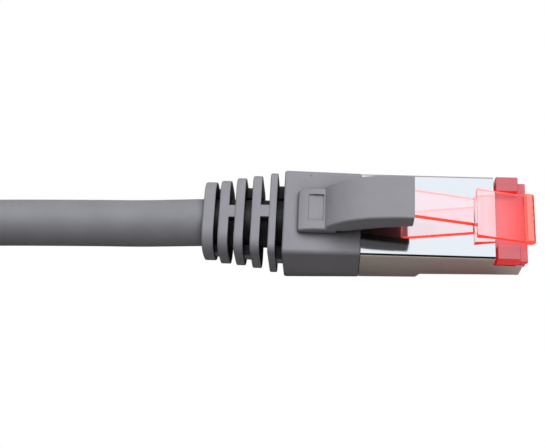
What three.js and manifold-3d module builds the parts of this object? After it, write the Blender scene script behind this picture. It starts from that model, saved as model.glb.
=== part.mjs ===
// A shielded eight-pin patch cable: two identical plugs with moulded boots, and a metre of round
// cable between them, wound for storage. Millimetres, +X towards the nose of plug A, +Z up on the
// latch side. Plug A stands on z = 0, centred on the origin.
import * as THREE from 'three';
import { mergeVertices } from 'three/addons/utils/BufferGeometryUtils.js';
import Module from 'manifold-3d';

const wasm = await Module();
wasm.setup();

const GAP = 0.3;                // between pieces that touch

// Cable
const CABLE_D = 6.5;            // outside of the jacket
const CABLE_Z = 4.7;            // height of the cable's axis inside a plug
const WIRE_D = 0.9;             // insulated conductor
const PAIR_D = 2.1;             // foil-wrapped pair
const PAIR_SPREAD = 1.2;        // each pair's distance from the axis, sideways and upwards
const BRAID_OUT_R = 3.25;
const BRAID_IN_R = 2.95;
const COLLAR_OUT_R = 3.7;       // crimped over the braid
const COLLAR_IN_R = 3.4;
const COLLAR_REAR = -9.4;
const COLLAR_FRONT = -4.9;
const INNER_REAR = -9.9;        // braid and pairs start here, just ahead of the jacket's end
const BRAID_FRONT = -4.8;
const PAIR_FRONT = 3.9;
const WIRE_REAR = 4.4;
const WIRE_FRONT = 13.9;
const WIRE_DRAW_IN = 0.62;      // the wires' spread at their rear ends, against that in the guide

// Contacts
const PINS = 8;
const PITCH = 1.02;             // between neighbouring contacts
const BLADE = 0.35;             // contact thickness
const SLOT = 0.6;               // contact slot width
const SLOT_REAR = 15;
const SLOT_TOP = 6.6;

// Shield
const SHIELD_W = 11.65;
const SHIELD_TOP = 9.4;
const SHIELD_FRONT = 16.6;      // front edge of the top plate
const SHIELD_REAR = -0.55;
const SIDE_FRONT = 20.45;       // the lower side walls run on under the clear nose
const SIDE_RAIL_TOP = 6.85;
const SHEET = 0.3;              // sheet thickness
const STEP_X = 7.2;             // the underside steps down behind here
const FRONT_FLOOR = 2.65;       // underside just ahead of the step
const NOSE_FLOOR = 3.2;         // underside at the nose
const REAR_FLOOR = 0.95;
const NECK_REAR = -4.4;
const NECK_W = 9.6;
const NECK_BOTTOM = 1.2;
const NECK_TOP = 8.7;
const OPENING_REAR = 15.2;      // the opening under the contacts
const OPENING_W = 8.8;

// Clear housing
const NOSE = 21.0;
const NOSE_STEP = 19.8;
const FRONT_BLOCK_TOP = 7.9;
const FRONT_BLOCK_W = 11.2;
const HOUSING_REAR = 8.0;
const LATCH_CHANNEL_W = 7.5;

// Wire guide
const GUIDE_REAR = 8.4;
const GUIDE_FRONT = 14.3;
const GUIDE_W = 8.5;
const GUIDE_BOTTOM = 4.9;
const GUIDE_TOP = 7.9;
const ROW_OFFSET = 0.65;        // each row of wires, above or below the guide's middle
const GUIDE_HOLE_R = 0.58;

// Latch
const LATCH_TAIL = 4.7;
const LATCH_SHOULDER = 14.1;
const LATCH_NOSE = 21.9;
const TAB_W = 3.5;
const SHOULDER_W = 6.5;
const LATCH_BAR_W = 6.6;

// Boot
const BOOT_W = 12;
const BOOT_H = 9.75;
const BOOT_MOUTH_W = 11.7;      // it draws in towards the shield
const BOOT_MOUTH_BOTTOM = 0.4;
const BOOT_MOUTH_TOP = 9.65;
const CAVITY_BOTTOM = 0.9;
const CAVITY_TOP = 9.0;
const BOOT_FRONT = -0.85;
const BOOT_REAR = -11.1;
const BOOT_WALL = 0.85;
const BOOT_REAR_WALL = 0.9;
const BORE_R = 3.55;
const PAD_W = 5.4;
const HOOD_W = 6;
const HOOD_ROOT = -5.05;
const HOOD_FRONT = 5.75;
const HOOD_WALL = 0.9;
const HOOD_BASE = 10.2;
const RECESS_W = 3.7;           // thumb recess in the pad
const RECESS_FLOOR = 10.6;
const WEB = 1.5;                // width of the bars that join the ribs
const WEB_INSET = 0.4;          // side bars stop this far inside the ribs
const MERGE = 0.2;              // shapes joined into one piece run this far into each other
// Each rib of the strain relief: rear face, front face, half width, top, corner radius
const RIBS = [
  [-21.85, -20.3, 5.1, 9.0, 2.8],
  [-19.7, -18.35, 5.22, 9.1, 2.5],
  [-17.55, -16.3, 5.4, 9.3, 2.0],
  [-15.35, -14.1, 5.55, 9.5, 1.6],
  [-13.0, -12.0, 5.8, 9.65, 1.2],
];

// Coil of the spare length
const TURN_PITCH = 6.6;         // from turn to turn and from layer to layer
const COIL_MID_R = 32.5;        // middle of the two columns of turns
const COIL_X = -95.2;
const COIL_Y = -37.2;
const COIL_BOTTOM = 0.6;
const COIL_TOP = 13.6;
const COIL_HALF_W = TURN_PITCH / 2 + 3.35;
const TIE_W = 5;
const TIE_IN_R = 3.8;           // inside of the strap round each turn that it bends over
const TIE_OUT_R = 4.4;
const TIE_DEG = -65;            // turned this far round the coil from its +Y side
const TAIL_START_DEG = -5;      // where the last turn has climbed onto the coil
const TAIL_CLIMB_DEG = 200;     // from here it rises to the height of plug B's axis
const TAIL_END_DEG = 262;
const TAIL_RISE = 1.3;
const TAIL_STEP_DEG = 12;
const TAIL_STRAIGHT = 1.5;      // from the last turn to boot B's rearmost rib
const TAIL_Z = COIL_TOP + GAP + CABLE_D / 2;  // height of the axis where it lies on the coil
const REST_Z = CABLE_D / 2;     // height of the axis where the cable lies on the surface
const JACKET_END = BOOT_REAR + BOOT_REAR_WALL;  // where the jacket stops inside a boot
const PLUG_B_X = COIL_X - RIBS[0][0] + TAIL_STRAIGHT;
const PLUG_B_Y = COIL_Y - COIL_MID_R;
const PLUG_B_Z = COIL_TOP + GAP;

const material = (color, roughness, metalness, extra = {}) =>
  new THREE.MeshStandardMaterial({ color, roughness, metalness, ...extra });
const BOOT_GREY = material(0x8f8e93, 0.6, 0);
const JACKET_GREY = material(0x8a898e, 0.55, 0);
const NICKEL = material(0xd8d6d2, 0.08, 1);
const CLEAR_RED = material(0xf0303c, 0.1, 0, { transparent: true, opacity: 0.6 });
const GOLD = material(0xd9b45a, 0.2, 1);
const FOIL = material(0xc9ccd0, 0.3, 1);
const BRAID = material(0xb9a58c, 0.45, 1);
const BAR_NATURAL = material(0xe6e2d6, 0.4, 0);
const TIE_BLACK = material(0x1d1d1f, 0.7, 0);
const WIRE_COLOURS = [0xf2e6d8, 0xe8803a, 0xe6f0e2, 0x3f73c4, 0xe2e8f4, 0x3f9a52, 0xeee4da, 0x7a4b2a]
  .map((c) => material(c, 0.45, 0));

// three.js geometry to manifold solid and back
function solid(geometry) {
  const bare = geometry.clone();
  bare.deleteAttribute('normal');
  bare.deleteAttribute('uv');
  const merged = mergeVertices(bare, 1e-4);
  return new wasm.Manifold(new wasm.Mesh({
    numProp: 3,
    vertProperties: new Float32Array(merged.attributes.position.array),
    triVerts: new Uint32Array(merged.index.array),
  }));
}

function shell(manifold) {
  const mesh = manifold.getMesh();
  const indexed = new THREE.BufferGeometry();
  indexed.setAttribute('position', new THREE.BufferAttribute(new Float32Array(mesh.vertProperties), 3));
  indexed.setIndex([...mesh.triVerts]);
  const faceted = indexed.toNonIndexed();
  faceted.computeVertexNormals();
  return faceted;
}

const joined = (pieces) => pieces.reduce((a, b) => a.add(b));

// A block between two corners
function block(x0, x1, y0, y1, z0, z1) {
  const box = new THREE.BoxGeometry(x1 - x0, y1 - y0, z1 - z0);
  box.translate((x0 + x1) / 2, (y0 + y1) / 2, (z0 + z1) / 2);
  return solid(box);
}

// A side profile drawn in x and z, as wide as width across y
function sideProfile(shape, width, curveSegments = 8) {
  const g = new THREE.ExtrudeGeometry(shape, { depth: width, bevelEnabled: false, curveSegments });
  g.translate(0, 0, -width / 2);
  g.rotateX(Math.PI / 2);
  return g;
}

function roundedRectangle(halfWidth, bottom, top, r) {
  const s = new THREE.Shape();
  s.moveTo(-halfWidth + r, bottom);
  s.lineTo(halfWidth - r, bottom);
  s.absarc(halfWidth - r, bottom + r, r, -Math.PI / 2, 0);
  s.lineTo(halfWidth, top - r);
  s.absarc(halfWidth - r, top - r, r, 0, Math.PI / 2);
  s.lineTo(-halfWidth + r, top);
  s.absarc(-halfWidth + r, top - r, r, Math.PI / 2, Math.PI);
  s.lineTo(-halfWidth, bottom + r);
  s.absarc(-halfWidth + r, bottom + r, r, Math.PI, 1.5 * Math.PI);
  return s;
}

// A cross-section drawn in y and z, run from x0 to x1
function alongX(shape, x0, x1, curveSegments = 2) {
  const g = new THREE.ExtrudeGeometry(shape, { depth: x1 - x0, bevelEnabled: false, curveSegments });
  g.applyMatrix4(new THREE.Matrix4().makeBasis(
    new THREE.Vector3(0, 1, 0), new THREE.Vector3(0, 0, 1), new THREE.Vector3(1, 0, 0)));
  g.translate(x0, 0, 0);
  return g;
}

// A round bar along X
function rod(radius, x0, x1, y = 0, z = CABLE_Z, sides = 24) {
  const g = new THREE.CylinderGeometry(radius, radius, x1 - x0, sides);
  g.rotateZ(Math.PI / 2);
  g.translate((x0 + x1) / 2, y, z);
  return g;
}

const sleeve = (outer, inner, x0, x1) =>
  solid(rod(outer, x0, x1)).subtract(solid(rod(inner, x0 - 1, x1 + 1)));

function outline(points) {
  return new THREE.Shape(points.map(([x, z]) => new THREE.Vector2(x, z)));
}

// Boot: a hollow block with the hood's root on top, then five ribs joined by bars, alternately
// at the sides and at the top and bottom
function boot() {
  const body = alongX(roundedRectangle(BOOT_W / 2, 0, BOOT_H, 0.75), BOOT_REAR, BOOT_FRONT);
  const corner = body.attributes.position;
  for (let i = 0; i < corner.count; i += 1) {
    if (corner.getX(i) > BOOT_FRONT - 0.1) {
      corner.setY(i, corner.getY(i) * BOOT_MOUTH_W / BOOT_W);
      corner.setZ(i, THREE.MathUtils.mapLinear(corner.getZ(i), 0, BOOT_H, BOOT_MOUTH_BOTTOM, BOOT_MOUTH_TOP));
    }
  }
  const parts = [solid(body)];
  const pad = outline([
    [-8.9, BOOT_H - MERGE], [HOOD_ROOT - GAP, BOOT_H - MERGE], [HOOD_ROOT - GAP, 11.1], [-6.9, 11.15],
    [-8.6, 10.5], [-8.9, 10.2],
  ]);
  parts.push(solid(sideProfile(pad, PAD_W)));
  for (const [rear, front, halfWidth, top, r] of RIBS) {
    parts.push(solid(alongX(roundedRectangle(halfWidth, 0, top, r), rear, front)));
  }
  RIBS.forEach(([, front, halfWidth, top], i) => {
    const next = i + 1 < RIBS.length ? RIBS[i + 1][0] : BOOT_REAR;
    const [x0, x1] = [front - MERGE, next + MERGE];
    if (i % 2) {
      parts.push(block(x0, x1, -WEB / 2, WEB / 2, 0.05, top - 0.05));
    } else {
      const reach = halfWidth - WEB_INSET;
      parts.push(block(x0, x1, -reach, reach, CABLE_Z - WEB / 2, CABLE_Z + WEB / 2));
    }
  });
  const side = BOOT_W / 2 - BOOT_WALL;
  return shell(joined(parts)
    .subtract(block(JACKET_END, BOOT_FRONT + 1, -side, side, CAVITY_BOTTOM, CAVITY_TOP))
    .subtract(solid(rod(BORE_R, RIBS[0][0] - 1, BOOT_REAR + 2)))
    .subtract(block(-7.8, -5.75, -RECESS_W / 2, RECESS_W / 2, RECESS_FLOOR, 12)));
}

// Latch guard: an upturned channel that arches from the boot over the latch's tail
function hood() {
  const outer = new THREE.Shape();
  outer.moveTo(HOOD_ROOT, HOOD_BASE);
  outer.lineTo(-2.9, HOOD_BASE);
  outer.bezierCurveTo(-0.2, 11.3, 2.5, 12.1, HOOD_FRONT, 12.6);
  outer.lineTo(HOOD_FRONT, 15.4);
  outer.bezierCurveTo(-0.6, 15.3, -3.2, 13.3, HOOD_ROOT, 11.0);
  const roof = new THREE.Shape();
  roof.moveTo(-3.0, 9.5);
  roof.lineTo(HOOD_FRONT + 1, 9.5);
  roof.lineTo(HOOD_FRONT + 1, 14.42);
  roof.bezierCurveTo(0.4, 14.2, -1.8, 13.2, -3.0, 11.9);
  return shell(solid(sideProfile(outer, HOOD_W)).subtract(solid(sideProfile(roof, HOOD_W - 2 * HOOD_WALL))));
}

// Shield: one folded sheet, open in front and below the contacts, with a narrow neck for the boot
function shield() {
  const body = (inset) => outline([
    [SHIELD_REAR + inset, REAR_FLOOR + inset], [STEP_X - 0.3 - inset, REAR_FLOOR + 0.5 + inset],
    [STEP_X - inset, FRONT_FLOOR - 0.4 + inset], [STEP_X + 0.2 - inset, FRONT_FLOOR + inset],
    [SIDE_FRONT, NOSE_FLOOR + inset], [SIDE_FRONT + 2 * inset, NOSE_FLOOR + inset],
    [SIDE_FRONT + 2 * inset, SIDE_RAIL_TOP],
    [SHIELD_FRONT + 2 * inset, SIDE_RAIL_TOP], [SHIELD_FRONT + 2 * inset, SHIELD_TOP - inset],
    [SHIELD_REAR + inset, SHIELD_TOP - inset],
  ]);
  const neck = (inset, rear) => block(rear, SHIELD_REAR + 1, -NECK_W / 2 + inset, NECK_W / 2 - inset,
    NECK_BOTTOM + inset, NECK_TOP - inset);
  return shell(solid(sideProfile(body(0), SHIELD_W)).add(neck(0, NECK_REAR))
    .subtract(solid(sideProfile(body(SHEET), SHIELD_W - 2 * SHEET)))
    .subtract(neck(SHEET, NECK_REAR - 1))
    .subtract(block(SHIELD_FRONT, SIDE_FRONT + 1, SHEET - SHIELD_W / 2, SHIELD_W / 2 - SHEET,
      SIDE_RAIL_TOP - 1, SHIELD_TOP))
    .subtract(block(OPENING_REAR, SIDE_FRONT + 1, -OPENING_W / 2, OPENING_W / 2,
      FRONT_FLOOR - 1, NOSE_FLOOR + 1)));
}

const pinY = (i) => (i - (PINS - 1) / 2) * PITCH;

// Clear housing: a block inside the shield, wider where it shows at the nose, with a channel for
// the latch, a pocket for the wire guide and a slot for each contact
function housing() {
  const inside = SHIELD_W / 2 - SHEET - GAP;
  const roof = SHIELD_TOP - SHEET - GAP;
  const inner = outline([
    [HOUSING_REAR, FRONT_FLOOR + 0.7], [19.6, NOSE_FLOOR + SHEET + GAP], [NOSE, 5.0],
    [NOSE, FRONT_BLOCK_TOP], [SHIELD_FRONT, FRONT_BLOCK_TOP], [SHIELD_FRONT, roof], [HOUSING_REAR, roof],
  ]);
  const front = block(NOSE_STEP - 1, NOSE, -FRONT_BLOCK_W / 2, FRONT_BLOCK_W / 2,
    SIDE_RAIL_TOP + GAP, FRONT_BLOCK_TOP);
  const cheeks = block(SHIELD_FRONT + GAP, NOSE_STEP, -SHIELD_W / 2, SHIELD_W / 2,
    SIDE_RAIL_TOP + GAP, SHIELD_TOP);
  const slots = Array.from({ length: PINS }, (_, i) =>
    block(SLOT_REAR, NOSE + 1, pinY(i) - SLOT / 2, pinY(i) + SLOT / 2, FRONT_FLOOR, SLOT_TOP));
  return shell(joined([solid(sideProfile(inner, 2 * inside)), front, cheeks])
    .subtract(block(HOUSING_REAR - 1, GUIDE_FRONT + GAP, -GUIDE_W / 2 - GAP, GUIDE_W / 2 + GAP,
      GUIDE_BOTTOM - GAP, GUIDE_TOP + GAP))
    .subtract(block(SHIELD_FRONT + MERGE, NOSE + 1, -LATCH_CHANNEL_W / 2, LATCH_CHANNEL_W / 2,
      FRONT_BLOCK_TOP, SHIELD_TOP + 1))
    .subtract(joined(slots)));
}

// Latch: a sloping tab, two shoulders and the rounded bar where it bends out of the nose
function latch() {
  const tab = outline([
    [LATCH_TAIL, 13.0], [LATCH_SHOULDER + 0.5, 10.2], [LATCH_SHOULDER + 0.5, 11.2],
    [LATCH_TAIL + 0.3, 13.95], [LATCH_TAIL, 13.7],
  ]);
  const shoulder = new THREE.Shape();
  shoulder.moveTo(LATCH_SHOULDER, 10.15);
  shoulder.lineTo(SHIELD_FRONT, 9.8);
  shoulder.lineTo(20.7, 8.6);
  shoulder.lineTo(20.9, 9.3);
  shoulder.quadraticCurveTo(17.4, 10.1, LATCH_SHOULDER, 11.35);
  const bar = new THREE.Shape();
  bar.moveTo(20.5, 8.2);
  bar.lineTo(21.5, 8.2);
  bar.quadraticCurveTo(LATCH_NOSE, 8.5, LATCH_NOSE, 9.0);
  bar.quadraticCurveTo(LATCH_NOSE, 9.8, 20.8, 9.8);
  bar.lineTo(20.5, 9.4);
  return shell(joined([
    solid(sideProfile(tab, TAB_W)),
    solid(sideProfile(shoulder, SHOULDER_W)),
    solid(sideProfile(bar, LATCH_BAR_W, 4)),
  ]));
}

// Contact blade: flat along the underside, turned up at the nose
function contact() {
  const s = new THREE.Shape();
  s.moveTo(15.3, 3.75);
  s.lineTo(19.3, 3.9);
  s.quadraticCurveTo(20.5, 3.95, 20.7, 5.3);
  s.lineTo(20.7, 6.2);
  s.lineTo(19.9, 6.2);
  s.lineTo(19.7, 4.9);
  s.lineTo(16.6, 4.9);
  s.lineTo(16.6, 6.3);
  s.lineTo(15.3, 6.3);
  return sideProfile(s, BLADE, 3);
}

// The wires sit in two staggered rows in the guide and draw together behind it
const ROW_MID = (GUIDE_BOTTOM + GUIDE_TOP) / 2;
const wireZ = (i) => ROW_MID + (i % 2 ? -ROW_OFFSET : ROW_OFFSET);

function wireGuide() {
  const holes = Array.from({ length: PINS }, (_, i) =>
    solid(rod(GUIDE_HOLE_R, GUIDE_REAR - 1, GUIDE_FRONT + 1, pinY(i), wireZ(i), 10)));
  return shell(block(GUIDE_REAR, GUIDE_FRONT, -GUIDE_W / 2, GUIDE_W / 2, GUIDE_BOTTOM, GUIDE_TOP)
    .subtract(joined(holes)));
}

function tubeAlong(points, diameter, sides, steps) {
  const section = new THREE.Shape();
  section.absarc(0, 0, diameter / 2, 0, 2 * Math.PI);
  const path = new THREE.CatmullRomCurve3(points.map((p) => new THREE.Vector3(...p)));
  return new THREE.ExtrudeGeometry(section, { steps, extrudePath: path, curveSegments: sides / 2 });
}

function wire(i) {
  const [y, z] = [pinY(i), wireZ(i)];
  const [yIn, zIn] = [y * WIRE_DRAW_IN, CABLE_Z + (z - ROW_MID) * 1.1];
  return tubeAlong([[WIRE_FRONT, y, z], [11, y, z], [8.3, y, z], [6, (y + yIn) / 2, (z + zIn) / 2],
    [WIRE_REAR, yIn, zIn]], WIRE_D, 8, 8);
}

function place(group, name, geometry, material) {
  const mesh = new THREE.Mesh(geometry, material);
  mesh.name = name;
  group.add(mesh);
}

function plug(end) {
  const g = new THREE.Group();
  place(g, `boot_${end}`, boot(), BOOT_GREY);
  place(g, `latch_guard_${end}`, hood(), BOOT_GREY);
  place(g, `shield_${end}`, shield(), NICKEL);
  place(g, `housing_${end}`, housing(), CLEAR_RED);
  place(g, `latch_${end}`, latch(), CLEAR_RED);
  place(g, `wire_guide_${end}`, wireGuide(), BAR_NATURAL);
  place(g, `crimp_collar_${end}`, shell(sleeve(COLLAR_OUT_R, COLLAR_IN_R, COLLAR_REAR, COLLAR_FRONT)),
    NICKEL);
  place(g, `cable_braid_${end}`, shell(sleeve(BRAID_OUT_R, BRAID_IN_R, INNER_REAR, BRAID_FRONT)),
    BRAID);
  for (let i = 0; i < PINS; i += 1) {
    const blade = contact();
    blade.translate(0, pinY(i), 0);
    place(g, `contact_${i + 1}_${end}`, blade, GOLD);
  }
  for (let i = 0; i < PINS; i += 1) {
    place(g, `wire_${i + 1}_${end}`, wire(i), WIRE_COLOURS[i]);
  }
  for (let i = 0; i < 4; i += 1) {
    const [y, z] = [i % 2 ? PAIR_SPREAD : -PAIR_SPREAD, i < 2 ? PAIR_SPREAD : -PAIR_SPREAD];
    const pair = rod(PAIR_D / 2, INNER_REAR, PAIR_FRONT, y, CABLE_Z + z, 12);
    place(g, `foiled_pair_${i + 1}_${end}`, pair, FOIL);
  }
  return g;
}

// The lead: out of boot A, down onto the surface and away to the coil's outer turn
function lead() {
  return tubeAlong([
    [JACKET_END, 0, CABLE_Z], [-16, 0, CABLE_Z], [-22, 0, 4.6], [-26, 0, 4.15], [-31, 0, 3.6],
    [-37, 0, REST_Z + 0.05], [-44, -0.15, REST_Z], [-52, -0.4, REST_Z], [-60, -0.8, REST_Z],
    [-68, -1.2, REST_Z], [-72.9, -1.3, REST_Z],
  ], CABLE_D, 12, 17);
}

function coil() {
  const section = roundedRectangle(COIL_HALF_W, COIL_BOTTOM, COIL_TOP, 3).getPoints(2);
  section.forEach((p) => p.setX(p.x + COIL_MID_R));
  const g = new THREE.LatheGeometry(section, 40);
  g.rotateX(Math.PI / 2);
  g.translate(COIL_X, COIL_Y, 0);
  return g;
}

// The tail: the last turn lies on the coil and runs straight into boot B
function tail() {
  const points = [];
  for (let deg = TAIL_START_DEG; deg < TAIL_END_DEG; deg += TAIL_STEP_DEG) {
    const a = THREE.MathUtils.degToRad(deg);
    const rise = THREE.MathUtils.smoothstep(deg, TAIL_CLIMB_DEG, TAIL_END_DEG) * TAIL_RISE;
    points.push([COIL_X + COIL_MID_R * Math.cos(a), COIL_Y + COIL_MID_R * Math.sin(a),
      TAIL_Z + rise]);
  }
  const z = PLUG_B_Z + CABLE_Z;
  points.push([PLUG_B_X + RIBS[0][0], PLUG_B_Y, z], [PLUG_B_X - 16, PLUG_B_Y, z],
    [PLUG_B_X + JACKET_END, PLUG_B_Y, z]);
  return tubeAlong(points, CABLE_D, 12, 40);
}

// A strap pulled tight round the turns: straight between the outer ones and over the last
function tie() {
  const column = TURN_PITCH / 2;
  const shoulderZ = COIL_TOP - CABLE_D / 2;
  const lean = Math.atan2(column, TAIL_Z - shoulderZ);
  const loop = (bottom, r) => {
    const s = new THREE.Shape();
    s.absarc(column, bottom + r, r, -Math.PI / 2, 0);
    s.absarc(column, shoulderZ, r, 0, lean);
    s.absarc(0, TAIL_Z, r, lean, Math.PI - lean);
    s.absarc(-column, shoulderZ, r, Math.PI - lean, Math.PI);
    s.absarc(-column, bottom + r, r, Math.PI, 1.5 * Math.PI);
    return s;
  };
  const strap = solid(alongX(loop(0, TIE_OUT_R), -TIE_W / 2, TIE_W / 2, 3))
    .subtract(solid(alongX(loop(GAP, TIE_IN_R), -TIE_W, TIE_W, 3)));
  const g = shell(strap);
  g.translate(0, COIL_MID_R, 0);
  g.rotateZ(THREE.MathUtils.degToRad(TIE_DEG));
  g.translate(COIL_X, COIL_Y, 0);
  return g;
}

const cable = new THREE.Group();
cable.add(plug('a'));
const plugB = plug('b');
plugB.position.set(PLUG_B_X, PLUG_B_Y, PLUG_B_Z);
cable.add(plugB);
place(cable, 'cable_lead', lead(), JACKET_GREY);
place(cable, 'cable_coil', coil(), JACKET_GREY);
place(cable, 'cable_tail', tail(), JACKET_GREY);
place(cable, 'coil_tie', tie(), TIE_BLACK);

export default cable;
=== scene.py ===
import math

import bmesh
import bpy
from mathutils import Matrix, Vector


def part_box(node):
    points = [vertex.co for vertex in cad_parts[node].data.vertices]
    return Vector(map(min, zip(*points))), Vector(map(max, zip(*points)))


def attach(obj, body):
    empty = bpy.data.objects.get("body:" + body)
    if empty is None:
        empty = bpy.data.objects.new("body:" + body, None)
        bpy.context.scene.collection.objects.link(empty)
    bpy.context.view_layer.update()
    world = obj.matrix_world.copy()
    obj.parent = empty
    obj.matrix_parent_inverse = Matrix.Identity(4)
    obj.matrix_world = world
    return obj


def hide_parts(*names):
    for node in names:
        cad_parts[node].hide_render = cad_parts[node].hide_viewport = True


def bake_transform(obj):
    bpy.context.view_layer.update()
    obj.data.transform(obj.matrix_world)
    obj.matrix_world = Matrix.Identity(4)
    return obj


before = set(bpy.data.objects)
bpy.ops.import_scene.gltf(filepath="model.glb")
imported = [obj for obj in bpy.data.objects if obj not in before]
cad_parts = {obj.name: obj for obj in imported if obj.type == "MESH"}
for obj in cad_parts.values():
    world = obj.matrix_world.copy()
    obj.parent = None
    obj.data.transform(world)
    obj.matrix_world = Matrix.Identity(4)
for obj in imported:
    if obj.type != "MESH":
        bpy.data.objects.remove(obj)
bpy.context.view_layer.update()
scene = bpy.context.scene
MM = 0.001

# Camera. It looks steeply down on plug A from in front and a little to the right, and is rolled a
# little so that the cable runs out level towards the left.
TURN = math.radians(8.93)
ELEVATION = math.radians(67.77)
ROLL = math.radians(-6.63)
back = Vector((
    math.sin(TURN) * math.cos(ELEVATION),
    -math.cos(TURN) * math.cos(ELEVATION),
    math.sin(ELEVATION),
))
level = Vector((math.cos(TURN), math.sin(TURN), 0))
upright = back.cross(level)
camera_x = math.cos(ROLL) * level + math.sin(ROLL) * upright
camera_y = math.cos(ROLL) * upright - math.sin(ROLL) * level
camera_data = bpy.data.cameras.new("camera")
camera_data.sensor_width = 36
camera_data.lens = 69.2
camera_data.clip_start = 0.01
camera = bpy.data.objects.new("camera", camera_data)
scene.collection.objects.link(camera)
camera.matrix_world = Matrix((camera_x, camera_y, back)).transposed().to_4x4()
camera.location = Vector((-4.33, -53.5, 137.29)) * MM
scene.camera = camera

# Jacketed cable, 6.5 mm across. It leaves boot A level, comes down onto the surface, and runs to the
# outside of a coil of two columns and two layers. The last turn lies on top and ends in boot B.
CABLE_D = 6.5
AXIS_Z = 4.7
JACKET_END = -10.2
RIBS_REAR = -21.85
TURN_STEP_DEG = 20
COIL_START_DEG = 90
CHANGE_DEG = 91
STAGGER_DEG = 27
plug_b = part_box("shield_b")[0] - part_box("shield_a")[0]
coil_low, coil_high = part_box("cable_coil")
coil_middle = (coil_low + coil_high) / 2 / MM
OUTER_R = 35.8
INNER_R = 29.2
TOP_R = 32.5
FIRST_LAYER = 3.85
SECOND_LAYER = 10.35
THIRD_LAYER = 16.7
LAST_CHANGE_DEG = 172
TAIL_END_DEG = 4 * 360 + LAST_CHANGE_DEG
TO_PLUG_DEG = 75


def ramp(turned, start, run):
    t = min(max((turned - start) / run, 0), 1)
    return t * t * (3 - 2 * t)


# Each change of track starts a little further round than the one above it, so that the cable
# never meets itself: in, up, out, and up onto the top. There it lies over the middle of the two
# columns and rises a little to the boot.
def coil_point(turned):
    move_in = ramp(turned, LAST_CHANGE_DEG + 3 * STAGGER_DEG, CHANGE_DEG)
    move_up = ramp(turned, 360 + LAST_CHANGE_DEG + 2 * STAGGER_DEG, CHANGE_DEG)
    move_out = ramp(turned, 2 * 360 + LAST_CHANGE_DEG + STAGGER_DEG, CHANGE_DEG)
    to_top = ramp(turned, 3 * 360 + LAST_CHANGE_DEG, CHANGE_DEG)
    to_middle = ramp(turned, 3 * 360 + LAST_CHANGE_DEG + 2 * STAGGER_DEG, CHANGE_DEG)
    to_plug = ramp(turned, TAIL_END_DEG - TO_PLUG_DEG, TO_PLUG_DEG)
    radius = OUTER_R + (INNER_R - OUTER_R) * (move_in - move_out) + (TOP_R - OUTER_R) * to_middle
    height = FIRST_LAYER + (SECOND_LAYER - FIRST_LAYER) * move_up
    height += (THIRD_LAYER - SECOND_LAYER) * to_top
    height += (plug_b.z / MM + AXIS_Z - THIRD_LAYER) * to_plug
    angle = math.radians(COIL_START_DEG + turned)
    return (
        coil_middle.x + radius * math.cos(angle),
        coil_middle.y + radius * math.sin(angle),
        height,
    )


lead = [
    (JACKET_END, 0, AXIS_Z), (-16, 0, AXIS_Z), (-22, 0, 4.6), (-26, 0, 4.15), (-31, 0, 3.6),
    (-37, 0, 3.3), (-44, -0.15, 3.25), (-52, -0.4, 3.25), (-60, -0.8, 3.25), (-68, -1.2, 3.25),
    (-77, -1.38, 3.3), (-86, -1.4, 3.55),
]
turns = [coil_point(turned) for turned in range(0, TAIL_END_DEG, TURN_STEP_DEG)]
tail = [
    (plug_b.x / MM + x, plug_b.y / MM, plug_b.z / MM + AXIS_Z) for x in (RIBS_REAR, -16, JACKET_END)
]
route = [Vector(point) * MM for point in lead + turns + tail]

cable_curve = bpy.data.curves.new("cable", "CURVE")
cable_curve.dimensions = "3D"
cable_curve.bevel_depth = CABLE_D / 2 * MM
cable_curve.bevel_resolution = 9
cable_curve.resolution_u = 8
cable_curve.use_fill_caps = True
spline = cable_curve.splines.new("BEZIER")
spline.bezier_points.add(len(route) - 1)
for knot, point in zip(spline.bezier_points, route):
    knot.co = point
    knot.handle_left_type = "AUTO"
    knot.handle_right_type = "AUTO"
cable = bpy.data.objects.new("cable_jacket", cable_curve)
scene.collection.objects.link(cable)

CLOUD_DARK = 0.93
CLOUD_PALE = 1.05
RUBBED = 0.07
# how far apart the nodes of a material are drawn, across and down
NODE_ACROSS = 220
NODE_DOWN = 120


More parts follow.
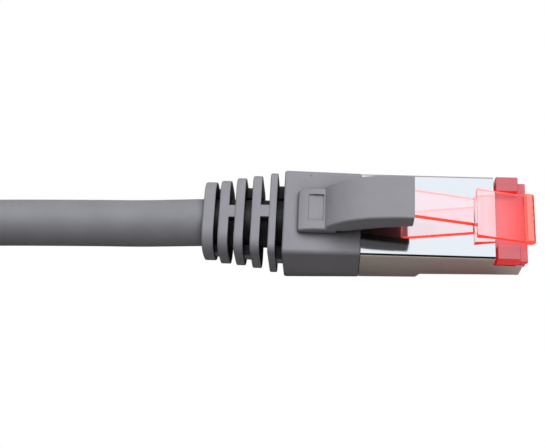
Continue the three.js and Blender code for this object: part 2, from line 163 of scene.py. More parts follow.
# Soft vinyl: an even satin grey with the fine tooth of the mould or die, and faint cloudiness. Its
# colour is painted darker in narrow gaps and inner corners: painted shade, where less light reaches.
def soft_vinyl(name, colour, roughness, tooth):
    material = bpy.data.materials.new(name)
    material.use_nodes = True
    nodes = material.node_tree.nodes
    links = material.node_tree.links
    nodes.clear()
    place = nodes.new("ShaderNodeTexCoord")
    place.label = "place on the piece"
    clouds = nodes.new("ShaderNodeTexNoise")
    clouds.label = "cloudiness of the pigment"
    clouds.inputs["Scale"].default_value = 260
    clouds.inputs["Detail"].default_value = 3
    shade = nodes.new("ShaderNodeValToRGB")
    shade.label = "grey of the vinyl"
    shade.color_ramp.elements[0].position = 0.3
    shade.color_ramp.elements[0].color = [*(c * CLOUD_DARK for c in colour), 1]
    shade.color_ramp.elements[1].position = 0.7
    shade.color_ramp.elements[1].color = [*(c * CLOUD_PALE for c in colour), 1]
    # Painted shade: the grey is darkened where the place is closed in, in gaps and inner corners
    openness = nodes.new("ShaderNodeAmbientOcclusion")
    openness.label = "how open the place is"
    openness.samples = 12
    openness.inputs["Distance"].default_value = 0.0045
    painted_shade = nodes.new("ShaderNodeMapRange")
    painted_shade.label = "narrow places are dark"
    painted_shade.inputs["From Min"].default_value = 0.3
    painted_shade.inputs["From Max"].default_value = 0.82
    painted_shade.inputs["To Min"].default_value = 0.05
    painted_shade_over_grey = nodes.new("ShaderNodeMix")
    painted_shade_over_grey.label = "grime over the grey"
    painted_shade_over_grey.data_type = "RGBA"
    painted_shade_over_grey.blend_type = "MULTIPLY"
    painted_shade_over_grey.inputs["Factor"].default_value = 1
    rubbed = nodes.new("ShaderNodeMapRange")
    rubbed.label = "handled patches are smoother"
    rubbed.inputs["To Min"].default_value = roughness - RUBBED
    rubbed.inputs["To Max"].default_value = roughness + RUBBED
    grain = nodes.new("ShaderNodeTexNoise")
    grain.label = "tooth of the surface"
    grain.inputs["Scale"].default_value = 5200
    grain.inputs["Detail"].default_value = 2
    relief = nodes.new("ShaderNodeBump")
    relief.label = "depth of the tooth"
    relief.inputs["Strength"].default_value = tooth
    relief.inputs["Distance"].default_value = 0.00004
    vinyl = nodes.new("ShaderNodeBsdfPrincipled")
    vinyl.label = "soft vinyl"
    vinyl.inputs["Specular IOR Level"].default_value = 0.35
    output = nodes.new("ShaderNodeOutputMaterial")
    output.label = "surface"
    for frame_label, members in (
        ("colour", (clouds, shade)), ("painted_shade", (openness, painted_shade, painted_shade_over_grey)), ("gloss", (rubbed,)),
        ("relief", (grain, relief)),
    ):
        group = nodes.new("NodeFrame")
        group.label = frame_label
        for member in members:
            member.parent = group
    for step, node in enumerate((
        place, clouds, shade, openness, painted_shade, painted_shade_over_grey, rubbed, grain, relief, vinyl, output,
    )):
        node.location = (NODE_ACROSS * step, -NODE_DOWN * (step % 3))
    links.new(place.outputs["Object"], clouds.inputs["Vector"])
    links.new(place.outputs["Object"], grain.inputs["Vector"])
    links.new(clouds.outputs["Fac"], shade.inputs["Fac"])
    links.new(clouds.outputs["Fac"], rubbed.inputs["Value"])
    links.new(grain.outputs["Fac"], relief.inputs["Height"])
    links.new(openness.outputs["AO"], painted_shade.inputs["Value"])
    links.new(shade.outputs["Color"], painted_shade_over_grey.inputs["A"])
    links.new(painted_shade.outputs["Result"], painted_shade_over_grey.inputs["B"])
    links.new(painted_shade_over_grey.outputs["Result"], vinyl.inputs["Base Color"])
    links.new(rubbed.outputs["Result"], vinyl.inputs["Roughness"])
    links.new(relief.outputs["Normal"], vinyl.inputs["Normal"])
    links.new(vinyl.outputs["BSDF"], output.inputs["Surface"])
    return material


cable_curve.materials.append(
    soft_vinyl("jacket vinyl", (0.325, 0.322, 0.345), roughness=0.5, tooth=0.25))
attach(cable, "cord")
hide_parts("cable_lead", "cable_coil", "cable_tail")

# Studio, in metres: a pale floor, one soft light overhead and a little behind the plug, and a weak
# one in front. A plain room that only polished surfaces see gives the plated sheets something to
# mirror.
FLOOR_REACH = 3
FLOOR_Z = -0.0001
ROOM = (2.6, 2.3, 1.1)
ROOM_MIDDLE = (0, 0.15, 0.54995)
PANEL_LOW = (-1.2, -0.2)
PANEL_HIGH = (1.2, 1.25)
PANEL_Z = 1.09
scene.view_settings.view_transform = "Standard"


def soft_light(name, tilt_deg, distance, across, power):
    data = bpy.data.lights.new(name, "AREA")
    data.shape = "DISK"
    data.size = across
    data.energy = power
    data.color = (0.97, 0.985, 1.0)
    tilt = math.radians(tilt_deg)
    lamp = bpy.data.objects.new(name, data)
    lamp.location = (0, distance * math.sin(tilt), distance * math.cos(tilt))
    lamp.rotation_euler.x = -tilt
    lamp.visible_camera = False
    lamp.visible_glossy = False
    lamp.visible_transmission = False
    scene.collection.objects.link(lamp)


soft_light("overhead softbox", tilt_deg=30, distance=1.0, across=1.4, power=12)
soft_light("front fill", tilt_deg=-65, distance=1.2, across=1.0, power=3)


def plain_surface(name, shader, colour):
    material = bpy.data.materials.new(name)
    material.use_nodes = True
    nodes = material.node_tree.nodes
    nodes.clear()
    surface = nodes.new(shader)
    surface.label = name
    surface.inputs["Color"].default_value = (*colour, 1)
    output = nodes.new("ShaderNodeOutputMaterial")
    output.label = "surface"
    output.location = (NODE_ACROSS, 0)
    material.node_tree.links.new(surface.outputs[0], output.inputs["Surface"])
    return material


def glow(name, colour):
    return plain_surface(name, "ShaderNodeEmission", colour)


def staged(bm, name, materials):
    mesh = bpy.data.meshes.new(name)
    bm.to_mesh(mesh)
    bm.free()
    for material in materials:
        mesh.materials.append(material)
    sheet = bpy.data.objects.new(name, mesh)
    scene.collection.objects.link(sheet)
    return sheet


def level_card(name, low, high, height, material):
    bm = bmesh.new()
    bmesh.ops.create_grid(bm, x_segments=1, y_segments=1, size=0.5)
    bmesh.ops.scale(bm, vec=(high[0] - low[0], high[1] - low[1], 1), verts=bm.verts)
    middle = ((low[0] + high[0]) / 2, (low[1] + high[1]) / 2, height)
    bmesh.ops.translate(bm, vec=middle, verts=bm.verts)
    return staged(bm, name, [material])


def only_mirrored(sheet):
    sheet.visible_camera = False
    sheet.visible_diffuse = False
    sheet.visible_transmission = False
    sheet.visible_shadow = False


floor = level_card(
    "floor", (-FLOOR_REACH, -FLOOR_REACH), (FLOOR_REACH, FLOOR_REACH), FLOOR_Z,
    glow("pale floor", (1, 1, 1)))
floor.visible_diffuse = False
floor.visible_glossy = False

TABLE, DARK, BACK_WALL, SIDE_WALL = range(4)
LINING = {(0, 0, 1): TABLE, (0, 0, -1): DARK, (0, 1, 0): DARK, (0, -1, 0): BACK_WALL}
bm = bmesh.new()
bmesh.ops.create_cube(bm, size=1)
bmesh.ops.scale(bm, vec=ROOM, verts=bm.verts)
bmesh.ops.translate(bm, vec=ROOM_MIDDLE, verts=bm.verts)
bmesh.ops.reverse_faces(bm, faces=bm.faces)
bm.normal_update()
for face in bm.faces:
    inward = tuple(round(c) for c in face.normal)
    face.material_index = LINING.get(inward, SIDE_WALL)
only_mirrored(staged(bm, "mirrored room", [
    plain_surface("warm table", "ShaderNodeBsdfDiffuse", (0.62, 0.54, 0.48)),
    glow("dark front wall and ceiling", (0.02, 0.016, 0.014)),
    glow("tan back wall", (0.55, 0.5, 0.46)),
    glow("grey side wall", (0.3, 0.29, 0.285)),
]))
panel = level_card(
    "mirrored panel", PANEL_LOW, PANEL_HIGH, PANEL_Z, glow("white panel", (1.05, 1.12, 1.2)))
only_mirrored(panel)
# The panel is also seen by light that comes through the clear red
panel.visible_transmission = True
surroundings = bpy.data.worlds.new("pale room")
surroundings.use_nodes = True
surroundings.node_tree.nodes["Background"].inputs["Color"].default_value = (0.86, 0.87, 0.88, 1)
scene.world = surroundings
surroundings.cycles_visibility.diffuse = False

# Boots, one on each end, moulded in soft vinyl over the cable. A hollow block grips the shield.
# Behind it five ribs, joined in turn by bars at the sides and at the top and bottom, let the cable
# bend.
BOOT_W = 12
BOOT_H = 9.75
BOOT_REAR = -11.1
BOOT_FRONT = -0.85
MOUTH_W = 11.7
MOUTH_BOTTOM = 0.4
MOUTH_TOP = 9.65
CAVITY_REAR = -10.2
CAVITY_HALF_W = 5.15
CAVITY_BOTTOM = 0.9
CAVITY_TOP = 9.0
BORE_R = 3.55
BORE_LENGTH = 16
BORE_MIDDLE = -17
PAST_MOUTH = 1
BAR = 1.65
BAR_INSET = 0.4
BAR_BOTTOM = 0.02
BAR_BELOW_RIB = 0.01
MERGE = 0.2
# rear face, front face, half width, top, radius of the upper corners, radius added below
RIBS = (
    (RIBS_REAR, -20.3, 5.1, 9.0, 2.8, 1.5),
    (-19.7, -18.35, 5.22, 9.1, 2.5, 0.8),
    (-17.55, -16.3, 5.4, 9.3, 2.0, 1.3),
    (-15.35, -14.1, 5.55, 9.5, 1.6, 1.1),
    (-13.0, -12.0, 5.8, 9.65, 1.2, 0.6),
)
MOULD_MARK = (-7.54, 5.1, 9.85)
MOULD_MARK_R = 0.22
SMOOTH_DEG = 32
# two places of one mesh this close together, in mm, are the same
NEAR = 1e-4


def bevel(bm, edges, width, segments):
    bmesh.ops.bevel(
        bm, geom=edges, offset=width, offset_type="OFFSET", segments=segments, profile=0.5,
        affect="EDGES", material=-1, clamp_overlap=True,
    )


# A block whose four long edges are rounded by corner, the lower two by lower more, and whose two
# ends are rounded by rear and front
def rounded_block(bm, low, high, corner=0, rear=0, front=0, lower=0):
    size = Vector(high) - Vector(low)
    centre = (Vector(high) + Vector(low)) / 2
    grown = bmesh.new()
    bmesh.ops.create_cube(grown, size=1)
    bmesh.ops.scale(grown, vec=size, verts=grown.verts)
    bmesh.ops.translate(grown, vec=centre, verts=grown.verts)
    for z, width in ((high[2], corner), (low[2], corner + lower)):
        if width:
            along = [e for e in grown.edges if abs(e.verts[0].co.x - e.verts[1].co.x) > size.x / 2
                     and abs(e.verts[0].co.z - z) < NEAR
                     and min(abs(e.verts[0].co.y - y) for y in (low[1], high[1])) < NEAR]
            bevel(grown, along, width, segments=7)
    for x, width in ((low[0], rear), (high[0], front)):
        if width:
            rim = [e for e in grown.edges if all(abs(v.co.x - x) < NEAR for v in e.verts)]
            bevel(grown, rim, width, segments=4)
    mesh = bpy.data.meshes.new("block")
    grown.to_mesh(mesh)
    grown.free()
    bm.from_mesh(mesh)
    bpy.data.meshes.remove(mesh)


def as_object(bm, name):
    bmesh.ops.recalc_face_normals(bm, faces=bm.faces)
    bmesh.ops.scale(bm, vec=(MM, MM, MM), verts=bm.verts)
    mesh = bpy.data.meshes.new(name)
    bm.to_mesh(mesh)
    bm.free()
    made = bpy.data.objects.new(name, mesh)
    scene.collection.objects.link(made)
    return made


def combine(piece, other, operation):
    step = piece.modifiers.new(operation, "BOOLEAN")
    step.operation = operation
    step.solver = "EXACT"
    step.use_self = True
    step.object = other
    bpy.context.view_layer.update()
    evaluated = piece.evaluated_get(bpy.context.evaluated_depsgraph_get())
    shaped = bpy.data.meshes.new_from_object(evaluated)
    piece.modifiers.clear()
    piece.data = shaped
    bpy.data.objects.remove(other)


def smooth(piece):
    piece.data.shade_smooth()
    piece.data.set_sharp_from_angle(angle=math.radians(SMOOTH_DEG))
    flats = piece.modifiers.new("flat faces stay flat", "WEIGHTED_NORMAL")
    flats.keep_sharp = True


# Plug B is the same plug: the piece made for plug A is copied to it
def fit_to_both_plugs(piece, name, material, bodies, nodes):
    piece.data.materials.clear()
    piece.data.materials.append(material)
    second = piece.copy()
    second.data = piece.data.copy()
    second.data.transform(Matrix.Translation(plug_b))
    scene.collection.objects.link(second)
    pair = (piece, second)
    for end, body, fitted in zip("ab", bodies, pair):
        fitted.name = f"{name}_{end}"
        if body:
            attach(fitted, body)
        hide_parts(*(f"{node}_{end}" for node in nodes))
    return pair


def boot_shape():
    bm = bmesh.new()
    rounded_block(
        bm, (BOOT_REAR, -BOOT_W / 2, 0), (BOOT_FRONT, BOOT_W / 2, BOOT_H),
        corner=0.65, rear=0.35, front=0.2)
    for vert in bm.verts:
        if vert.co.x > (BOOT_REAR + BOOT_FRONT) / 2:
            vert.co.y *= MOUTH_W / BOOT_W
            vert.co.z = MOUTH_BOTTOM + vert.co.z * (MOUTH_TOP - MOUTH_BOTTOM) / BOOT_H
    body = as_object(bm, "boot")
    bm = bmesh.new()
    for rear, front, half_width, top, corner, lower in RIBS:
        rounded_block(
            bm, (rear, -half_width, 0), (front, half_width, top),
            corner=corner, rear=0.22, front=0.12, lower=lower)
    next_rears = [rib[0] for rib in RIBS[1:]] + [BOOT_REAR]
    for i, next_rear in enumerate(next_rears):
        front, half_width, top = RIBS[i][1:4]
        x0 = front - MERGE
        x1 = next_rear + MERGE
        if i % 2:
            rounded_block(bm, (x0, -BAR / 2, BAR_BOTTOM), (x1, BAR / 2, top - BAR_BELOW_RIB))
        else:
            reach = half_width - BAR_INSET
            rounded_block(
                bm, (x0, -reach, AXIS_Z - BAR / 2), (x1, reach, AXIS_Z + BAR / 2), corner=0.15)
    combine(body, as_object(bm, "ribs"), "UNION")
    bm = bmesh.new()
    rounded_block(
        bm, (CAVITY_REAR, -CAVITY_HALF_W, CAVITY_BOTTOM),
        (BOOT_FRONT + PAST_MOUTH, CAVITY_HALF_W, CAVITY_TOP))
    combine(body, as_object(bm, "cavity"), "DIFFERENCE")
    bm = bmesh.new()
    bmesh.ops.create_cone(
        bm, cap_ends=True, segments=48, radius1=BORE_R, radius2=BORE_R, depth=BORE_LENGTH,
        matrix=Matrix.Translation((BORE_MIDDLE, 0, AXIS_Z)) @ Matrix.Rotation(math.pi / 2, 4, "Y"))
    combine(body, as_object(bm, "bore"), "DIFFERENCE")
    bm = bmesh.new()
    bmesh.ops.create_icosphere(
        bm, subdivisions=2, radius=MOULD_MARK_R, matrix=Matrix.Translation(MOULD_MARK))
    combine(body, as_object(bm, "mould mark"), "DIFFERENCE")
    smooth(body)
    return body


boot_vinyl = soft_vinyl("boot vinyl", (0.368, 0.36, 0.388), roughness=0.55, tooth=0.35)
boots = fit_to_both_plugs(boot_shape(), "boot_moulding", boot_vinyl,
                          ("cord", "cord"), ("boot",))

# Latch guards, moulded in one with the boots. Each is a pad with a thumb recess, from which a hood
# arches forward over the latch's tail.
PAD_HALF_W = 2.9
PAD_SHIFT = -0.2
PAD_REAR = -9.15
PAD_FRONT = -4.0
PAD_BOTTOM = 9.6
RECESS_REAR = -7.8
RECESS_HALF_W = 1.85
RECESS_FLOOR = 10.9
RECESS_TO_HOOD = 0.1
ABOVE_PAD = 12
HOOD_HALF_W = 3.0
HOOD_ROOT = -5.63
HOOD_FRONT = 5.75
HOOD_TOP = 15.4
HOOD_LIP = 12.6
SKIRT_REAR = (-2.9, 10.2)
CHANNEL_HALF_W = 2.1
CHANNEL_REAR = -3.0
CHANNEL_FRONT = 6.75
CHANNEL_BOTTOM = 9.5
CHANNEL_TOP = 14.42


def bezier(start, out, into, end, steps):
    points = []
    for i in range(1, steps + 1):
        t = i / steps
        weights = ((1 - t) ** 3, 3 * t * (1 - t) ** 2, 3 * t * t * (1 - t), t ** 3)
        points.append(tuple(
            sum(w * p[axis] for w, p in zip(weights, (start, out, into, end))) for axis in (0, 1)))
    return points


# A side outline in x and z, made as wide as half_width each way, with its two rims rounded by edge
def side_outline(points, half_width, edge=0):
    bm = bmesh.new()
    face = bm.faces.new([bm.verts.new((x, -half_width, z)) for x, z in points])
    grown = bmesh.ops.extrude_face_region(bm, geom=[face])
    moved = [v for v in grown["geom"] if isinstance(v, bmesh.types.BMVert)]
    bmesh.ops.translate(bm, vec=(0, 2 * half_width, 0), verts=moved)
    if edge:
        rims = [e for e in bm.edges if abs(e.verts[0].co.y - e.verts[1].co.y) < NEAR]
        bevel(bm, rims, edge, segments=4)
    return bm


def guard_shape():
    crest = bezier(
        (HOOD_FRONT, HOOD_TOP), (-0.9, 15.6), (-4.2, 13.6), (HOOD_ROOT, 11.0), steps=28)
    skirt = bezier(SKIRT_REAR, (-0.2, 11.3), (2.5, 12.1), (HOOD_FRONT, HOOD_LIP), steps=14)
    hood_side = [(HOOD_ROOT, 10.0), SKIRT_REAR, *skirt, (HOOD_FRONT, HOOD_TOP), *crest]
    hood = as_object(side_outline(hood_side, HOOD_HALF_W, edge=0.3), "guard")
    roof = bezier(
        (CHANNEL_FRONT, CHANNEL_TOP), (0.4, 14.2), (-1.8, 13.2), (CHANNEL_REAR, 11.9), steps=16)
    channel_side = [
        (CHANNEL_REAR, CHANNEL_BOTTOM), (CHANNEL_FRONT, CHANNEL_BOTTOM),
        (CHANNEL_FRONT, CHANNEL_TOP), *roof,
    ]
    combine(hood, as_object(side_outline(channel_side, CHANNEL_HALF_W), "channel"), "DIFFERENCE")
    pad_side = [
        (PAD_REAR, PAD_BOTTOM), (PAD_FRONT, PAD_BOTTOM), (PAD_FRONT, 10.9), (-5.0, 11.1),
        (-6.9, 11.15), (-8.4, 10.9), (PAD_REAR + 0.15, 10.6), (PAD_REAR, 10.2),
    ]
    bm = side_outline(pad_side, PAD_HALF_W, edge=0.25)
    bmesh.ops.translate(bm, vec=(0, PAD_SHIFT, 0), verts=bm.verts)
    combine(hood, as_object(bm, "pad"), "UNION")
    bm = bmesh.new()
    rounded_block(
        bm, (RECESS_REAR, -RECESS_HALF_W, RECESS_FLOOR),
        (HOOD_ROOT - RECESS_TO_HOOD, RECESS_HALF_W, ABOVE_PAD), rear=0.2, front=0.1)
    combine(hood, as_object(bm, "recess"), "DIFFERENCE")
    smooth(hood)
    return hood


guards = fit_to_both_plugs(guard_shape(), "guard_moulding", boot_vinyl,
                           (None, None), ("latch_guard",))
for end, guard, moved in zip("ab", guards, (Vector(), plug_b)):
    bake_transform(guard)

# Plated shields: one folded sheet each, polished like a mirror, with a fold along each long edge.
# The same finish is on the crimp collars.
FOLD_R = 0.42
FOLD_AT_LEAST = 8
RIM = 0.1
SHOULDER = -0.55
GAP_TO_BOOT = 0.02
HAZIER = 0.06
FLAT_DEG = 1
SHARP_DEG = 35
# two places of a frame mesh this close together, in metres, are the same
NEAR_IN_FRAME = 1e-6


# A copy of a part of the frame with its doubles merged, its flat faces joined and its edges rounded
def with_rounded_edges(node, width, segments, fold=0):
    bm = bmesh.new()
    bm.from_mesh(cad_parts[node].data)
    bmesh.ops.remove_doubles(bm, verts=bm.verts, dist=NEAR_IN_FRAME)
    bmesh.ops.dissolve_limit(bm, angle_limit=math.radians(FLAT_DEG), verts=bm.verts, edges=bm.edges)
    if fold:
        side = max(v.co.y for v in bm.verts) - NEAR_IN_FRAME
        folds = [e for e in bm.edges if min(abs(v.co.y) for v in e.verts) > side
                 and abs(e.verts[0].co.x - e.verts[1].co.x) > FOLD_AT_LEAST * MM]
        bevel(bm, folds, fold * MM, segments=6)
    sharp = [e for e in bm.edges if len(e.link_faces) == 2
             and e.calc_face_angle() > math.radians(SHARP_DEG)]
    bevel(bm, sharp, width * MM, segments)
    mesh = bpy.data.meshes.new(node)
    bm.to_mesh(mesh)
    bm.free()
    copy = bpy.data.objects.new(node + "_rounded", mesh)
    scene.collection.objects.link(copy)
    smooth(copy)
    return copy


def polished_plate(name, colour, roughness):
    material = bpy.data.materials.new(name)
    material.use_nodes = True
    nodes = material.node_tree.nodes
    links = material.node_tree.links
    nodes.clear()
    place = nodes.new("ShaderNodeTexCoord")
    place.label = "place on the piece"
    along = nodes.new("ShaderNodeMapping")
    along.label = "drawn out along the sheet"
    along.inputs["Scale"].default_value = (60, 900, 900)
    lines = nodes.new("ShaderNodeTexNoise")
    lines.label = "rolling lines"
    lines.inputs["Scale"].default_value = 4
    lines.inputs["Detail"].default_value = 4
    haze = nodes.new("ShaderNodeMapRange")
    haze.label = "lines are hazier"
    haze.inputs["To Min"].default_value = roughness
    haze.inputs["To Max"].default_value = roughness + HAZIER
    waves = nodes.new("ShaderNodeTexNoise")
    waves.label = "gentle unevenness of the sheet"
    waves.inputs["Scale"].default_value = 190
    waves.inputs["Detail"].default_value = 1
    relief = nodes.new("ShaderNodeBump")
    relief.label = "depth of the unevenness"
    relief.inputs["Strength"].default_value = 0.12
    relief.inputs["Distance"].default_value = 0.00008
    plate = nodes.new("ShaderNodeBsdfPrincipled")
    plate.label = "plated sheet"
    plate.inputs["Base Color"].default_value = (*colour, 1)
    plate.inputs["Metallic"].default_value = 1
    output = nodes.new("ShaderNodeOutputMaterial")
    output.label = "surface"
    for frame_label, members in (("gloss", (along, lines, haze)), ("relief", (waves, relief))):
        group = nodes.new("NodeFrame")
        group.label = frame_label
        for member in members:
            member.parent = group
    for step, node in enumerate((place, along, lines, haze, waves, relief, plate, output)):
        node.location = (NODE_ACROSS * step, -NODE_DOWN * (step % 3))
    links.new(place.outputs["Object"], along.inputs["Vector"])
    links.new(along.outputs["Vector"], lines.inputs["Vector"])
    links.new(lines.outputs["Fac"], haze.inputs["Value"])
    links.new(haze.outputs["Result"], plate.inputs["Roughness"])
    links.new(place.outputs["Object"], waves.inputs["Vector"])
    links.new(waves.outputs["Fac"], relief.inputs["Height"])
    links.new(relief.outputs["Normal"], plate.inputs["Normal"])
    links.new(plate.outputs["BSDF"], output.inputs["Surface"])
    return material


def refinish(node, material):
    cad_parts[node].data.materials.clear()
    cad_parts[node].data.materials.append(material)


nickel = polished_plate("bright nickel", (0.77, 0.77, 0.77), roughness=0.05)
sheet = with_rounded_edges("shield_a", width=RIM, segments=2, fold=FOLD_R)
# The rim behind the sheet's wide part is moved back almost to the boot's front face
shoulder_x = SHOULDER * MM
for vert in sheet.data.vertices:
    if abs(vert.co.x - shoulder_x) < 1.5 * RIM * MM:
        vert.co.x += (BOOT_FRONT + GAP_TO_BOOT) * MM - shoulder_x
shields = fit_to_both_plugs(sheet, "shield_sheet", nickel, ("cord", "cord"), ("shield",))
# No soft light is thrown back from the polished sheets
for shield in shields:
    shield.visible_diffuse = False
for end in "ab":
    refinish(f"crimp_collar_{end}", nickel)

# Clear red housings and latches, moulded in one. The moulding is tinted right through: pale where it
# is thin, deeper where it is thick. Level faces are painted paler and upright walls a deeper red, and
# the walls get a painted orange-red glow, an emission that stands in for light piped through the clear
# red.
THICKER_FROM = 12.5
THICKEST_AT = 21.6


def tinted_clear(name, flat, thick, wall, piped, faint, clearness, roughness, density):
    material = bpy.data.materials.new(name)
    material.use_nodes = True
    nodes = material.node_tree.nodes
    links = material.node_tree.links
    nodes.clear()
    place = nodes.new("ShaderNodeTexCoord")
    place.label = "place and facing on the piece"
    facing = nodes.new("ShaderNodeSeparateXYZ")
    facing.label = "up and down part of the facing"
    level = nodes.new("ShaderNodeMath")
    level.label = "level faces, either way up"
    level.operation = "ABSOLUTE"
    flatness = nodes.new("ShaderNodeMapRange")
    flatness.label = "wall 0, level face 1"
    flatness.inputs["From Min"].default_value = 0.45
    flatness.inputs["From Max"].default_value = 0.95
    thickness = nodes.new("ShaderNodeAttribute")
    thickness.label = "thickness of the moulding"
    thickness.attribute_name = "thickness"
    body_tint = nodes.new("ShaderNodeMix")
    body_tint.label = "tint by thickness"
    body_tint.data_type = "RGBA"
    body_tint.inputs["A"].default_value = (*flat, 1)
    body_tint.inputs["B"].default_value = (*thick, 1)
    # Painted: upright walls take the deeper wall colour, chosen by which way the face turns
    tint = nodes.new("ShaderNodeMix")
    tint.label = "walls are deeper"
    tint.data_type = "RGBA"
    tint.inputs["A"].default_value = (*wall, 1)
    # Painted light: an emission glow, strongest on walls turned from the light, and a faint one on
    # level faces
    side = nodes.new("ShaderNodeMapRange")
    side.label = "walls turned from the light glow more"
    side.inputs["From Min"].default_value = -1
    side.inputs["From Max"].default_value = 0
    side.inputs["To Min"].default_value = 1
    side.inputs["To Max"].default_value = 0.12
    glowing = nodes.new("ShaderNodeMix")
    glowing.label = "colour of the piped light"
    glowing.data_type = "RGBA"
    glowing.inputs["A"].default_value = (0, 0, 0, 1)
    glowing.inputs["B"].default_value = (*piped, 1)
    light = nodes.new("ShaderNodeMix")
    light.label = "light piped out at the walls"
    light.data_type = "RGBA"
    light.inputs["B"].default_value = (*faint, 1)
    flow = nodes.new("ShaderNodeTexNoise")
    flow.label = "flow of the moulding"
    flow.inputs["Scale"].default_value = 420
    flow.inputs["Detail"].default_value = 2
    relief = nodes.new("ShaderNodeBump")
    relief.label = "depth of the flow marks"
    relief.inputs["Strength"].default_value = 0.1
    relief.inputs["Distance"].default_value = 0.00005
    clear = nodes.new("ShaderNodeBsdfPrincipled")
    clear.label = "clear moulding"
    clear.inputs["Roughness"].default_value = roughness
    clear.inputs["IOR"].default_value = 1.45
    clear.inputs["Transmission Weight"].default_value = clearness
    clear.inputs["Emission Strength"].default_value = 1
    depth = nodes.new("ShaderNodeVolumeAbsorption")
    depth.label = "red tint through the thickness"
    depth.inputs["Color"].default_value = (0.99, 0.1, 0.14, 1)
    depth.inputs["Density"].default_value = density
    output = nodes.new("ShaderNodeOutputMaterial")
    output.label = "surface and depth"
    for frame_label, members in (
        ("colour", (facing, level, flatness, thickness, body_tint, tint)),
        ("piped light", (side, glowing, light)), ("relief", (flow, relief)),
    ):
        group = nodes.new("NodeFrame")
        group.label = frame_label
        for member in members:
            member.parent = group
    for step, node in enumerate((
        place, facing, level, flatness, thickness, body_tint, tint, side, glowing, light, flow, relief,
        clear, depth, output,
    )):
        node.location = (NODE_ACROSS * step, -NODE_DOWN * (step % 3))
    links.new(place.outputs["Normal"], facing.inputs["Vector"])
    links.new(facing.outputs["Z"], level.inputs[0])
    links.new(level.outputs["Value"], flatness.inputs["Value"])
    links.new(thickness.outputs["Fac"], body_tint.inputs["Factor"])
    links.new(flatness.outputs["Result"], tint.inputs["Factor"])
    links.new(body_tint.outputs["Result"], tint.inputs["B"])
    links.new(tint.outputs["Result"], clear.inputs["Base Color"])
    links.new(facing.outputs["Y"], side.inputs["Value"])
    links.new(side.outputs["Result"], glowing.inputs["Factor"])
    links.new(glowing.outputs["Result"], light.inputs["A"])
    links.new(flatness.outputs["Result"], light.inputs["Factor"])
    links.new(light.outputs["Result"], clear.inputs["Emission Color"])
    links.new(place.outputs["Object"], flow.inputs["Vector"])
    links.new(flow.outputs["Fac"], relief.inputs["Height"])
    links.new(relief.outputs["Normal"], clear.inputs["Normal"])
    links.new(clear.outputs["BSDF"], output.inputs["Surface"])
    links.new(depth.outputs["Volume"], output.inputs["Volume"])
    return material


# piped and faint are painted glow colours, sent out as emission
nose_red = tinted_clear(
    "clear red nose", flat=(0.88, 0.27, 0.3), thick=(0.9, 0.1, 0.1), wall=(0.7, 0.03, 0.04),
    piped=(0.36, 0.003, 0.006), faint=(0, 0, 0), clearness=0.35, roughness=0.1, density=120)
housing = with_rounded_edges("housing_a", width=0.12, segments=2)
housings = fit_to_both_plugs(
    housing, "nose_housing", nose_red, ("cord", "cord"), ("housing",))
latch_red = tinted_clear(
    "clear red latch", flat=(1, 0.93, 0.935), thick=(0.9, 0.26, 0.2), wall=(0.75, 0.05, 0.04),
    piped=(0.7, 0.04, 0.012), faint=(0.07, 0.02, 0.022), clearness=1, roughness=0.03, density=70)
latch = with_rounded_edges("latch_a", width=0.14, segments=3)
# 0 on the thin bar, rising to 1 where the latch is thickest, near the nose
thickness = latch.data.attributes.new("thickness", "FLOAT", "POINT")
for i, vert in enumerate(latch.data.vertices):
    thickness.data[i].value = ramp(
        vert.co.x / MM, THICKER_FROM, THICKEST_AT - THICKER_FROM) ** 2
latches = fit_to_both_plugs(latch, "latch_moulding", latch_red,
                            ("latch_a", "latch_b"), ("latch",))
# Light passes through the clear latches, so they cast no shadow
for latch in latches:
    latch.visible_shadow = False


# Contacts, wires and what holds them: gold-plated blades, coloured insulation in a natural guide,
# foil round each pair, and the tinned braid that the collar is crimped on.
PINS = range(1, 9)
PAIRS = range(1, 5)
SHADE_DARK = 0.85
SHADE_PALE = 1.1
SMOOTHER = 0.8
ROUGHER = 1.2


def plain_finish(name, colour, roughness, metallic, scale, depth):
    material = bpy.data.materials.new(name)
    material.use_nodes = True
    nodes = material.node_tree.nodes
    links = material.node_tree.links
    nodes.clear()
    place = nodes.new("ShaderNodeTexCoord")
    place.label = "place on the piece"
    texture = nodes.new("ShaderNodeTexNoise")
    texture.label = "unevenness of the surface"
    texture.inputs["Scale"].default_value = scale
    texture.inputs["Detail"].default_value = 3
    shade = nodes.new("ShaderNodeValToRGB")
    shade.label = "shade"
    shade.color_ramp.elements[0].color = [*(c * SHADE_DARK for c in colour), 1]
    shade.color_ramp.elements[1].color = [*(min(c * SHADE_PALE, 1) for c in colour), 1]
    gloss = nodes.new("ShaderNodeMapRange")
    gloss.label = "worn and smooth spots"
    gloss.inputs["To Min"].default_value = roughness * SMOOTHER
    gloss.inputs["To Max"].default_value = roughness * ROUGHER
    relief = nodes.new("ShaderNodeBump")
    relief.label = "depth of the unevenness"
    relief.inputs["Strength"].default_value = depth
    relief.inputs["Distance"].default_value = 0.00005
    skin = nodes.new("ShaderNodeBsdfPrincipled")
    skin.label = "skin"
    skin.inputs["Metallic"].default_value = metallic
    output = nodes.new("ShaderNodeOutputMaterial")
    output.label = "surface"
    for frame_label, members in (("colour", (shade,)), ("gloss", (gloss,)), ("relief", (relief,))):
        group = nodes.new("NodeFrame")
        group.label = frame_label
        for member in members:
            member.parent = group
    for step, node in enumerate((place, texture, shade, gloss, relief, skin, output)):
        node.location = (NODE_ACROSS * step, -NODE_DOWN * (step % 3))
    links.new(place.outputs["Object"], texture.inputs["Vector"])
    links.new(texture.outputs["Fac"], shade.inputs["Fac"])
    links.new(texture.outputs["Fac"], gloss.inputs["Value"])
    links.new(texture.outputs["Fac"], relief.inputs["Height"])
    links.new(shade.outputs["Color"], skin.inputs["Base Color"])
    links.new(gloss.outputs["Result"], skin.inputs["Roughness"])
    links.new(relief.outputs["Normal"], skin.inputs["Normal"])
    links.new(skin.outputs["BSDF"], output.inputs["Surface"])
    return material


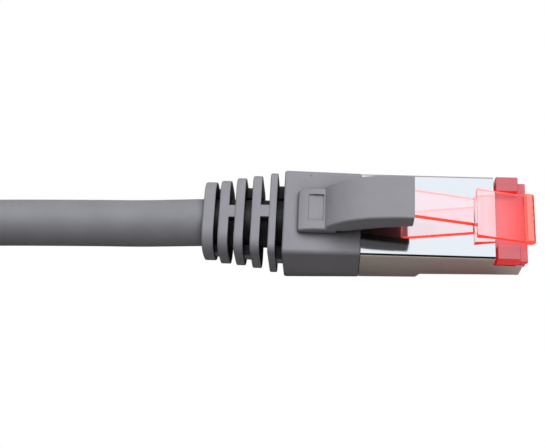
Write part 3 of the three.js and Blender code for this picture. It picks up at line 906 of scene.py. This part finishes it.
WIRE_COLOURS = {
    1: (0.9, 0.72, 0.55), 2: (0.85, 0.28, 0.05), 3: (0.7, 0.88, 0.68), 4: (0.05, 0.18, 0.6),
    5: (0.66, 0.74, 0.9), 6: (0.05, 0.38, 0.1), 7: (0.78, 0.66, 0.55), 8: (0.23, 0.09, 0.04),
}
gold = plain_finish(
    "gold plate", (0.86, 0.66, 0.28), roughness=0.18, metallic=1, scale=1400, depth=0.1)
natural = plain_finish(
    "natural guide", (0.82, 0.79, 0.7), roughness=0.35, metallic=0, scale=700, depth=0.15)
braid = plain_finish(
    "tinned braid", (0.6, 0.54, 0.46), roughness=0.4, metallic=1, scale=2600, depth=0.8)
foil = plain_finish(
    "pair foil", (0.78, 0.8, 0.83), roughness=0.28, metallic=1, scale=900, depth=0.6)
insulation = {
    pin: plain_finish(
        f"insulation {pin}", colour, roughness=0.4, metallic=0, scale=1100, depth=0.1)
    for pin, colour in WIRE_COLOURS.items()
}
blades = with_rounded_edges("contact_1_a", width=0.05, segments=2)
bm = bmesh.new()
bm.from_mesh(blades.data)
first_blade = list(bm.verts) + list(bm.edges) + list(bm.faces)
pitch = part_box("contact_2_a")[0].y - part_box("contact_1_a")[0].y
for step in range(1, len(PINS)):
    more = bmesh.ops.duplicate(bm, geom=first_blade)
    moved = [v for v in more["geom"] if isinstance(v, bmesh.types.BMVert)]
    bmesh.ops.translate(bm, vec=(0, step * pitch, 0), verts=moved)
bm.to_mesh(blades.data)
bm.free()
contacts = fit_to_both_plugs(blades, "contact_blades", gold, ("cord", "cord"),
                             [f"contact_{pin}" for pin in PINS])
for end in "ab":
    refinish(f"wire_guide_{end}", natural)
    refinish(f"cable_braid_{end}", braid)
    for pin in PINS:
        refinish(f"wire_{pin}_{end}", insulation[pin])
    for pair in PAIRS:
        refinish(f"foiled_pair_{pair}_{end}", foil)

# Strap round the coil: black woven hook-and-loop tape, pulled tight over the turns to keep them
# together. It is the frame's own strap with its edges rounded.
strap_weave = plain_finish(
    "black woven tape", (0.022, 0.022, 0.024), roughness=0.75, metallic=0, scale=3800, depth=0.9)
strap = with_rounded_edges("coil_tie", width=0.12, segments=2)
strap.name = "strap"
strap.data.materials.append(strap_weave)
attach(strap, "cord")
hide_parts("coil_tie")

# A list of plug B, with what is in it, and of the strap
taken_along = [boots[1], guards[1], shields[1], housings[1], latches[1], contacts[1], strap]
taken_along += [f"{node}_b" for node in ("wire_guide", "crimp_collar", "cable_braid")]
taken_along += [f"wire_{pin}_b" for pin in PINS]
taken_along += [f"foiled_pair_{pair}_b" for pair in PAIRS]

bpy.context.view_layer.update()
